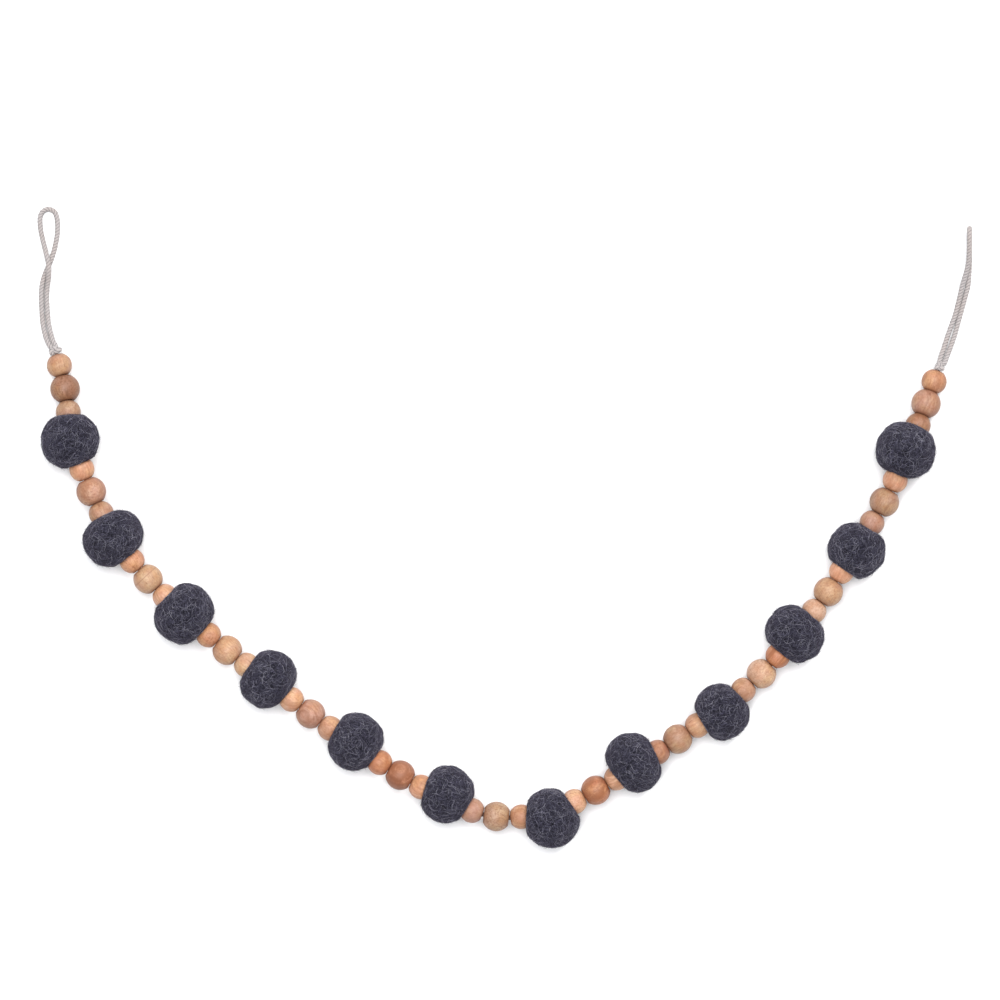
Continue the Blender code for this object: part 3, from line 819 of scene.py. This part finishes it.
def fibre_recipe():
    """Scatters fibres that hug a skin, with a fixed seed."""
    recipe = Recipe("loose fibres", Density="Float", Length="Float", Width="Float", Lift="Float",
                    Fuzz="Float", Curl="Float", Comb="Float", Darkest="Float", Palest="Float",
                    Seed="Int", Finish="Material", Keep="Bool")
    add, maths, random, store = recipe.add, recipe.maths, recipe.random, recipe.store
    given = recipe.given
    skin = given["Shape"]
    covered = maths("SUBTRACT", 1.0, recipe.stored("bare"))
    scattered = add("GeometryNodeDistributePointsOnFaces", {
        "Mesh": skin, "Density": maths("MULTIPLY", given["Density"], covered),
        "Seed": given["Seed"]})
    shade = random(given["Darkest"], given["Palest"], 1)
    points = store(scattered, "shade", shade)
    stray = maths("POWER", random(0.0, 1.0, 2), STRAY_POWER)
    points = store(points, "stray", stray)
    points = store(points, "body", random(*BODY_RANGE, 6))
    swirl = add("ShaderNodeTexNoise", {"Scale": SWIRL_SCALE, "Detail": 1.0})
    combed = maths("MULTIPLY", maths("MULTIPLY", swirl, SWIRL_TURNS), given["Comb"])
    loose = maths("SUBTRACT", math.tau, maths("MULTIPLY", given["Comb"], COMB_HOLD))
    way = maths("ADD", combed, maths("MULTIPLY", loose, random(0.0, 1.0, 3)))
    spin = add("FunctionNodeAxisAngleToRotation", {0: (0, 0, 1), 1: way})
    upright = scattered.node.outputs["Rotation"]
    turn = add("FunctionNodeRotateRotation", {0: upright, 1: spin}, rotation_space="LOCAL")
    long = maths("MULTIPLY", given["Length"], random(*LENGTH_RANGE, 4))
    bow = maths("MULTIPLY", long, random(-1.0, 1.0, 5))
    size = add("ShaderNodeCombineXYZ", {0: long, 1: bow, 2: 1.0})
    line = add("GeometryNodeCurveQuadraticBezier", {
        0: FIBRE_BENDS, 1: (-0.5, 0, 0), 2: (0, 0.5, 0), 3: (0.5, 0, 0)})
    lines = add("GeometryNodeInstanceOnPoints", {0: points, 2: line, 5: turn, 6: size})
    lines = add("GeometryNodeRealizeInstances", {0: lines})
    here = add("GeometryNodeInputPosition")
    drift = add("ShaderNodeTexNoise", {"Vector": here, "Scale": DRIFT_SCALE, "Detail": 2.0},
                       out="Color")
    sideways = recipe.vector("SUBTRACT", drift, (0.5, 0.5, 0.5))
    lines = add("GeometryNodeSetPosition", {
        0: lines, 3: recipe.stretch(sideways, given["Curl"])})
    on_skin = add("GeometryNodeProximity", {0: skin, 2: here}, target_element="FACES")
    normal = add("GeometryNodeInputNormal")
    outward = add("GeometryNodeSampleNearestSurface", {0: skin, 1: normal, 4: here},
                         data_type="FLOAT_VECTOR")
    along = add("GeometryNodeSplineParameter")
    rise = maths("MULTIPLY", maths("POWER", along, 2.0), recipe.stored("stray"))
    rise = maths("MULTIPLY", rise, given["Fuzz"])
    height = maths("ADD", rise, given["Lift"])
    pressed = recipe.vector("ADD", on_skin, recipe.stretch(outward, height))
    above_floor = recipe.vector("MAXIMUM", pressed, (-1.0, -1.0, FIBRE_FLOOR))
    lines = add("GeometryNodeSetPosition", {0: lines, 2: above_floor})
    from_middle = maths("ABSOLUTE", maths("SUBTRACT", along, 0.5))
    taper = maths("SUBTRACT", 1.0, maths("MULTIPLY", from_middle, 2 * (1 - FIBRE_TIP)))
    thickness = maths("MULTIPLY", taper, recipe.stored("body"))
    section = add("GeometryNodeCurvePrimitiveCircle", {
        0: FIBRE_SIDES, 4: maths("MULTIPLY", given["Width"], 0.5)}, mode="RADIUS")
    hairs = add("GeometryNodeCurveToMesh", {
        0: lines, 1: section, 2: thickness, 3: True})
    hairs = add("GeometryNodeSetShadeSmooth", {0: hairs})
    hairs = add("GeometryNodeSetMaterial", {0: hairs, 2: given["Finish"]})
    kept = add("GeometryNodeSwitch", {"Switch": given["Keep"], "True": skin},
                      input_type="GEOMETRY")
    both = recipe.tree.nodes.new("GeometryNodeJoinGeometry")
    recipe.tree.links.new(hairs, both.inputs[0])
    recipe.tree.links.new(kept, both.inputs[0])
    return recipe.finish(add("GeometryNodeRealizeInstances", {0: both.outputs[0]}))


loose_fibres = fibre_recipe()
print("fibre recipe:", len(loose_fibres.nodes), "nodes")

# %% [markdown]
# ## The shape of a felt ball
# A felt ball is carded wool rolled wet between the palms, so it is never a true sphere. A needle
# pulls the cord through it, and the small beads on both sides press a dimple into it. The ball
# is built as rings from one dimple round the outside to the other, as the solids are, but with
# more of them, made finer still. It rests on a small flat spot.

# %% Sizes of the felt balls
Ball = namedtuple("Ball", "x y around along")
BALLS = (
    Ball(-216.3, 79.2, 15.0, 15.0),
    Ball(-194.4, 29.6, 16.0, 14.3),
    Ball(-158.2, -9.1, 16.0, 14.8),
    Ball(-115.3, -42.3, 15.6, 13.9),
    Ball(-70.8, -74.1, 15.1, 14.5),
    Ball(-24.2, -101.0, 14.9, 14.2),
    Ball(28.9, -113.2, 15.3, 14.9),
    Ball(71.0, -84.7, 15.9, 13.9),
    Ball(115.9, -58.8, 14.8, 14.1),
    Ball(153.0, -19.1, 15.6, 14.5),
    Ball(184.6, 23.4, 14.8, 14.6),
    Ball(209.6, 74.3, 15.3, 15.3),
)
SEAT_DEPTH = 0.8
DIMPLE_DEPTH_GAP = 0.15
DIMPLE_FLOOR_RADIUS = 3.9
DIMPLE_WALL_RADIUS = 6.0
DIMPLE_WALL_RISE = 1.9
DIMPLE_LIP_RADIUS = 7.2
LIP_ROUNDS = 4
DOWN = Vector((0, 0, -1))
NEARLY_PARALLEL = 1e-9


def meeting_point(first, second):
    """Where the lines of two beads' holes pass closest to each other."""
    across = second.centre - first.centre
    turn = first.axis.dot(second.axis)
    spread = 1 - turn ** 2
    if spread < NEARLY_PARALLEL:
        return (first.centre + second.centre) / 2
    along_first = (across.dot(first.axis) - across.dot(second.axis) * turn) / spread
    along_second = (across.dot(first.axis) * turn - across.dot(second.axis)) / spread
    return (first.centre + first.axis * along_first + second.centre + second.axis * along_second) / 2


ball_neighbours = [
    (places[small_bead_name(number, 1)], places[small_bead_name(number + 1, 0)])
    for number in range(1, BALL_COUNT + 1)
]
ball_cord_points = [meeting_point(before, after) for before, after in ball_neighbours]
print("cord passes the first ball at", [round(value, 4) for value in ball_cord_points[0]])

# %% [markdown]
# ## Rolling the felt
# The rings run round the cord's own way through the ball. On top of the stretched round form
# come three sizes of lump: the slow swell that the solids have too, the dents of the fingers,
# and the puckers of the drying felt. Some balls also keep a fold, where the last layer of wool
# closed over the one before.

# %% Rolling a felt ball
BALL_SIDES = 26
BALL_RINGS = 13
LUMP_LAYERS = ((1.6, 0.030), (3.8, 0.080), (9.0, 0.050))
LUMP_SHIFT = Vector((3.7, 1.9, 0.0))
FOLD_DEPTH = 0.022
FOLD_WIDTH = 0.05
FOLD_WANDER = 0.18
FOLD_WANDER_SCALE = 2.2
FOLD_PATCH_SCALE = 1.4
FOLD_PATCH_SHARE = 0.25
FOLD_HEIGHTS = (0.25, 0.75)
FOLD_SEED = 8
SKIN_LEVELS = 2
LIP_ROLL = 0.055
LIP_ROLL_REACH = 0.05
LIP_UNEVEN = 0.4
fold_luck = np.random.default_rng(FOLD_SEED)


def below_and_beside(axis):
    """Two unit directions across an axis: the lowest one, and the level one beside it."""
    below = (DOWN - axis * DOWN.dot(axis)).normalized()
    return below, axis.cross(below)


def reach_to_skin(ball, middle, axis, start, direction):
    """Distance from a point inside a ball to its smooth skin, along a direction."""
    def unstretch(vector):
        """The same vector where the ball would be a unit sphere."""
        along = axis * vector.dot(axis)
        return along / ball.along + (vector - along) / ball.around

    origin = unstretch(start - middle)
    ray = unstretch(direction)
    slope = origin.dot(ray)
    square = ray.length_squared
    return (math.sqrt(slope ** 2 - square * (origin.length_squared - 1)) - slope) / square


def lump(direction, number, fold_way, fold_height):
    """Unevenness of hand-rolled felt, as a share of the radius."""
    swell = 0.0
    for layer, (scale, amount) in enumerate(LUMP_LAYERS):
        swell += amount * noise.noise(direction * scale + LUMP_SHIFT * (number + 20 * layer))
    wander = FOLD_WANDER * noise.noise(direction * FOLD_WANDER_SCALE + LUMP_SHIFT * (number + 90))
    off_fold = direction.dot(fold_way) - fold_height + wander
    patch = noise.noise(direction * FOLD_PATCH_SCALE + LUMP_SHIFT * (number + 150))
    gate = max(0.0, patch + FOLD_PATCH_SHARE)
    return swell - FOLD_DEPTH * min(1.0, 2 * gate) * math.exp(-(off_fold / FOLD_WIDTH) ** 2)


def circle_points(centre, first, second, radius):
    """Points around a centre, in the plane of two unit directions."""
    angles = [math.tau * index / BALL_SIDES for index in range(BALL_SIDES)]
    return [centre + (first * math.cos(angle) + second * math.sin(angle)) * radius for angle in angles]


def ball_rows(ball, number, cord, before, after):
    """Rings of a felt ball in millimetres, and how bare each ring is of loose fibres."""
    middle = Vector((ball.x, ball.y, ball.around - SEAT_DEPTH))
    travel_in = before.axis
    travel_out = after.axis
    travel = (travel_in + travel_out).normalized()
    bend = travel_in.rotation_difference(travel_out)
    around = [math.tau * index / BALL_SIDES for index in range(BALL_SIDES)]
    fold_way = Vector(fold_luck.uniform(-1, 1, 3)).normalized()
    fold_height = fold_luck.uniform(*FOLD_HEIGHTS)

    def skin_point(axis, angle, turn):
        """Point on the skin, at an angle from the cord's way back and a turn from the lowest."""
        below, beside = below_and_beside(axis)
        outward = below * math.cos(turn) + beside * math.sin(turn)
        direction = outward * math.sin(angle) - axis * math.cos(angle)
        return direction * reach_to_skin(ball, middle, travel, cord, direction)

    def lip_angle(axis, side, turn):
        """Angle from the cord at which the skin is one lip radius away from it."""
        angle = math.asin(DIMPLE_LIP_RADIUS / ball.along)
        for _ in range(LIP_ROUNDS):
            reach = skin_point(axis * side, angle, turn).length
            angle = math.asin(DIMPLE_LIP_RADIUS / reach)
        return angle

    def dimple(place, side):
        """Mouth, floor and wall of the dimple that one small bead presses in."""
        below, beside = below_and_beside(place.axis)
        face = abs((place.centre / MM - cord).dot(place.axis)) - SMALL_BEAD.length / MM / 2
        depth = face - 2 * DIMPLE_DEPTH_GAP
        rows = (
            (BORE_RADIUS / MM, depth),
            (DIMPLE_FLOOR_RADIUS, depth),
            (DIMPLE_WALL_RADIUS, depth + DIMPLE_WALL_RISE),
        )
        return [
            circle_points(cord + place.axis * side * height, below, beside, radius)
            for radius, height in rows
        ]

    first_lips = [lip_angle(travel_in, 1, turn) for turn in around]
    second_lips = [math.pi - lip_angle(travel_out, -1, -turn) for turn in around]
    outside = []
    for step in range(BALL_RINGS):
        share = step / (BALL_RINGS - 1)
        swing = (1 - math.cos(math.pi * share)) / 2
        axis = travel_in.copy()
        axis.rotate(Matrix.Rotation(bend.angle * swing, 3, bend.axis))
        ring = []
        for turn, first, second in zip(around, first_lips, second_lips):
            spoke = skin_point(axis, first + (second - first) * share, turn)
            swell = lump(spoke.normalized(), number, fold_way, fold_height)
            swell *= LIP_UNEVEN + (1 - LIP_UNEVEN) * math.sin(math.pi * share) ** 0.5
            rolled = LIP_ROLL * math.exp(-min(share, 1 - share) / LIP_ROLL_REACH)
            ring.append(cord + spoke * (1 + swell - rolled))
        outside.append(ring)
    below, beside = below_and_beside(travel)
    elbow = circle_points(cord, below, beside, BORE_RADIUS / MM / math.cos(bend.angle / 2))
    entering = dimple(before, -1)
    leaving = list(reversed(dimple(after, 1)))
    wall = len(entering) - 1
    bare = [1] * wall + [0] * (len(outside) + 2) + [1] * wall + [1]
    return entering + outside + leaving + [elbow], bare


def ball_skin(name, rows, bare):
    """The closed skin of a ball through its rings, made finer and set on the surface."""
    shape = bmesh.new()
    bare_layer = shape.verts.layers.float.new("bare")
    grid = []
    for ring, bareness in zip(rows, bare):
        line = [shape.verts.new(point * MM) for point in ring]
        for vertex in line:
            vertex[bare_layer] = bareness
        grid.append(line)
    piece = ring_piece(name, shape, grid)
    piece.data.materials.append(felt_skin)
    finer = piece.modifiers.new("finer", "SUBSURF")
    finer.levels = finer.render_levels = SKIN_LEVELS
    piece = plain_piece(piece)
    for vertex in piece.data.vertices:
        vertex.co.z = max(vertex.co.z, 0.0)
    return piece


print("rings and sides of a ball before it is made finer:", BALL_RINGS, BALL_SIDES)

# %% [markdown]
# ## Felting the balls
# Each ball gets its own seed, so the wool swirls another way on every one. First come the locks,
# thin bundles of wool that lie flat in the skin. Then come single hairs, of which a few stand
# off by up to a millimetre and give the soft rim, and last a few long pale ones.

# %% Felt balls
Wool = namedtuple("Wool", "density length width lift fuzz curl comb darkest palest seed")
LOCKS = Wool(density=360_000.0, length=5.0 * MM, width=0.24 * MM, lift=0.02 * MM,
             fuzz=0.2 * MM, curl=2.0 * MM, comb=0.95, darkest=0.0, palest=0.72, seed=0)
HAIRS = Wool(density=540_000.0, length=4.2 * MM, width=0.14 * MM, lift=0.10 * MM,
             fuzz=1.3 * MM, curl=1.4 * MM, comb=0.6, darkest=0.2, palest=1.0, seed=100)
LONG_HAIRS = Wool(density=10_000.0, length=9.0 * MM, width=0.14 * MM, lift=0.16 * MM,
                  fuzz=1.2 * MM, curl=3.6 * MM, comb=0.0, darkest=0.75, palest=0.95, seed=200)


def wool_layer(skin, wool, number, keep):
    """Lay one sort of fibre on a skin, and keep the skin or not."""
    given = {label.capitalize(): value for label, value in wool._asdict().items()}
    given["Seed"] += number
    follow(skin, loose_fibres, Finish=felt_fibre, Keep=keep, **given)
    return plain_piece(skin)


def felt_ball(number):
    """One felted ball in its place."""
    node = f"felt_ball_{number:02d}"
    before, after = ball_neighbours[number - 1]
    cord = ball_cord_points[number - 1] / MM
    rows, bare = ball_rows(BALLS[number - 1], number, cord, before, after)
    skin = ball_skin(f"wool_ball_{number:02d}", rows, bare)
    loose = []
    for wool in (HAIRS, LONG_HAIRS):
        copy = link_piece(f"hairs_{number:02d}", skin.data.copy())
        loose.append(wool_layer(copy, wool, number, keep=False))
    piece = join_pieces(wool_layer(skin, LOCKS, number, keep=True), *loose)
    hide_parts(node)
    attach(piece, "root")
    return piece


balls = [felt_ball(number) for number in range(1, BALL_COUNT + 1)]
print("felt balls:", len(balls), "triangles", [triangle_count(ball) for ball in balls])

# %% [markdown]
# ## The cord inside
# The same laid cord runs through every hole, from the first knot to the last. It shows only in
# the small gaps between beads, so it has fewer steps for each turn of its strands, and it is
# painted dark brown all over, as painted shade in the gaps between the beads.

# %% Threaded cord
THREADED_STEPS_PER_LAY = 5


def threaded_route():
    """The way of the cord through beads and balls, from inside one knot to inside the other."""
    points = [node_middle("knot_left")]
    for group in range(1, BEAD_GROUPS + 1):
        names = (small_bead_name(group, 0), f"bead_large_{group:02d}", small_bead_name(group, 1))
        for name in names:
            place = places[name]
            points.append(place.centre - place.axis * place.size.length / 3)
            points.append(place.centre + place.axis * place.size.length / 3)
        if group <= BALL_COUNT:
            points.append(ball_cord_points[group - 1])
    points.append(node_middle("knot_right"))
    return smooth_route(points, CORD_LAY / THREADED_STEPS_PER_LAY)


# the cord through the holes is painted dark all over, as painted shade between the beads
threaded = lay_cord("cord_inside", threaded_route(), finish=soiled_cotton)
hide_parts("cord_threaded")
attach(threaded, "root")
print("threaded cord, triangles", triangle_count(threaded))

# %% [markdown]
# ## The knots
# At each end the cord is tied in a simple overhand knot and pulled tight. An overhand knot is
# the trefoil of the mathematics books, cut open. So the knot is that curve, pressed into the
# box of its solid, with the same laid cord along it.

# %% Knots
KNOT_SAMPLES = 60
TREFOIL_ACROSS = 2.6
TREFOIL_ALONG = 2.7
KNOT_CORD_SHARE = 0.9


def overhand_knot(side, first_bead):
    """One tight knot in the space of its solid."""
    node = "knot_" + side
    low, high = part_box(node)
    half = (Vector(high) - Vector(low)) / 2
    middle = node_middle(node)
    width = CORD_WIDTH * KNOT_CORD_SHARE
    axis = (places[first_bead].centre - middle).normalized()
    beside = axis.cross(Vector((0, 0, 1))).normalized()
    above = beside.cross(axis)
    across_reach = (half.x - width / 2) / TREFOIL_ACROSS
    along_reach = (half.y - width / 2) / TREFOIL_ALONG
    rise = half.z - width / 2
    points = []
    for step in range(KNOT_SAMPLES + 1):
        angle = math.tau * step / KNOT_SAMPLES
        forward = math.sin(angle) + 2 * math.sin(2 * angle)
        across = math.cos(angle) - 2 * math.cos(2 * angle)
        upward = -math.sin(3 * angle)
        spread = axis * forward * along_reach + beside * across * across_reach
        points.append(middle + spread + above * upward * rise)
    piece = lay_cord("knot_tied_" + side, smooth_route(points, CORD_LAY / STEPS_PER_LAY), width)
    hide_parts(node)
    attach(piece, "root")
    print(piece.name, "triangles", triangle_count(piece))
    return piece


overhand_knot("left", small_bead_name(1, 0))
overhand_knot("right", small_bead_name(BEAD_GROUPS, 1))

# %% [markdown]
# ## The surface and the light
# A plain near-white surface lies under the garland. Both lights are as far away as the sky, so
# the surface is lit evenly to its edge. One is wide and nearly overhead. The other is smaller
# and comes from the upper right, and lays faint shadows towards the lower left. The plain view
# transform keeps the tones of the wood and the white of the surface as they are.

# %% Surface
FLOOR_SIZE = 60.0
CARD_TINTS = ((0.86, 0.86, 0.87, 1), (0.88, 0.88, 0.89, 1))


def make_floor_finish():
    """Smooth pale card."""
    finish = Finish("pale_surface", Roughness=0.9, Specular_IOR_Level=0.1)
    fine = finish.cloud(finish.place(), 900, detail=2)
    colour = finish.blend(finish.between(fine, 0.3, 0.7), *CARD_TINTS)
    return finish.finish(Base_Color=colour)


floor_shape = bmesh.new()
bmesh.ops.create_grid(floor_shape, x_segments=1, y_segments=1, size=FLOOR_SIZE / 2)
floor_mesh = bpy.data.meshes.new("surface")
floor_shape.to_mesh(floor_mesh)
floor_shape.free()
floor_mesh.materials.append(make_floor_finish())
floor = link_piece("surface", floor_mesh)
print("surface", FLOOR_SIZE, "metres wide")

# %% Light
WORLD_COLOUR = (0.93, 0.96, 1.0, 1)
WORLD_STRENGTH = 0.34
Lamp = namedtuple("Lamp", "name come_from spread strength colour")
LAMPS = (
    Lamp("overhead", (-0.06, 0.12, 1.0), math.radians(42), 4.0, (1.0, 1.0, 1.0)),
    Lamp("upper_right", (1.1, 1.5, 1.7), math.radians(12), 1.55, (1.0, 0.985, 0.96)),
)


def hang_lamp(lamp):
    """One far light that shines on the garland from a direction."""
    data = bpy.data.lights.new(lamp.name, "SUN")
    data.angle = lamp.spread
    data.energy = lamp.strength
    data.color = lamp.colour
    item = link_piece(lamp.name, data)
    item.location = Vector(lamp.come_from)
    item.rotation_euler = (-Vector(lamp.come_from)).to_track_quat("-Z", "Y").to_euler()


for lamp in LAMPS:
    hang_lamp(lamp)

world = bpy.data.worlds.new("studio")
world.use_nodes = True
sky = world.node_tree.nodes["Background"]
sky.inputs["Color"].default_value = WORLD_COLOUR
sky.inputs["Strength"].default_value = WORLD_STRENGTH
bpy.context.scene.world = world
bpy.context.scene.view_settings.view_transform = "Standard"
print("lamps:", [lamp.name for lamp in LAMPS])
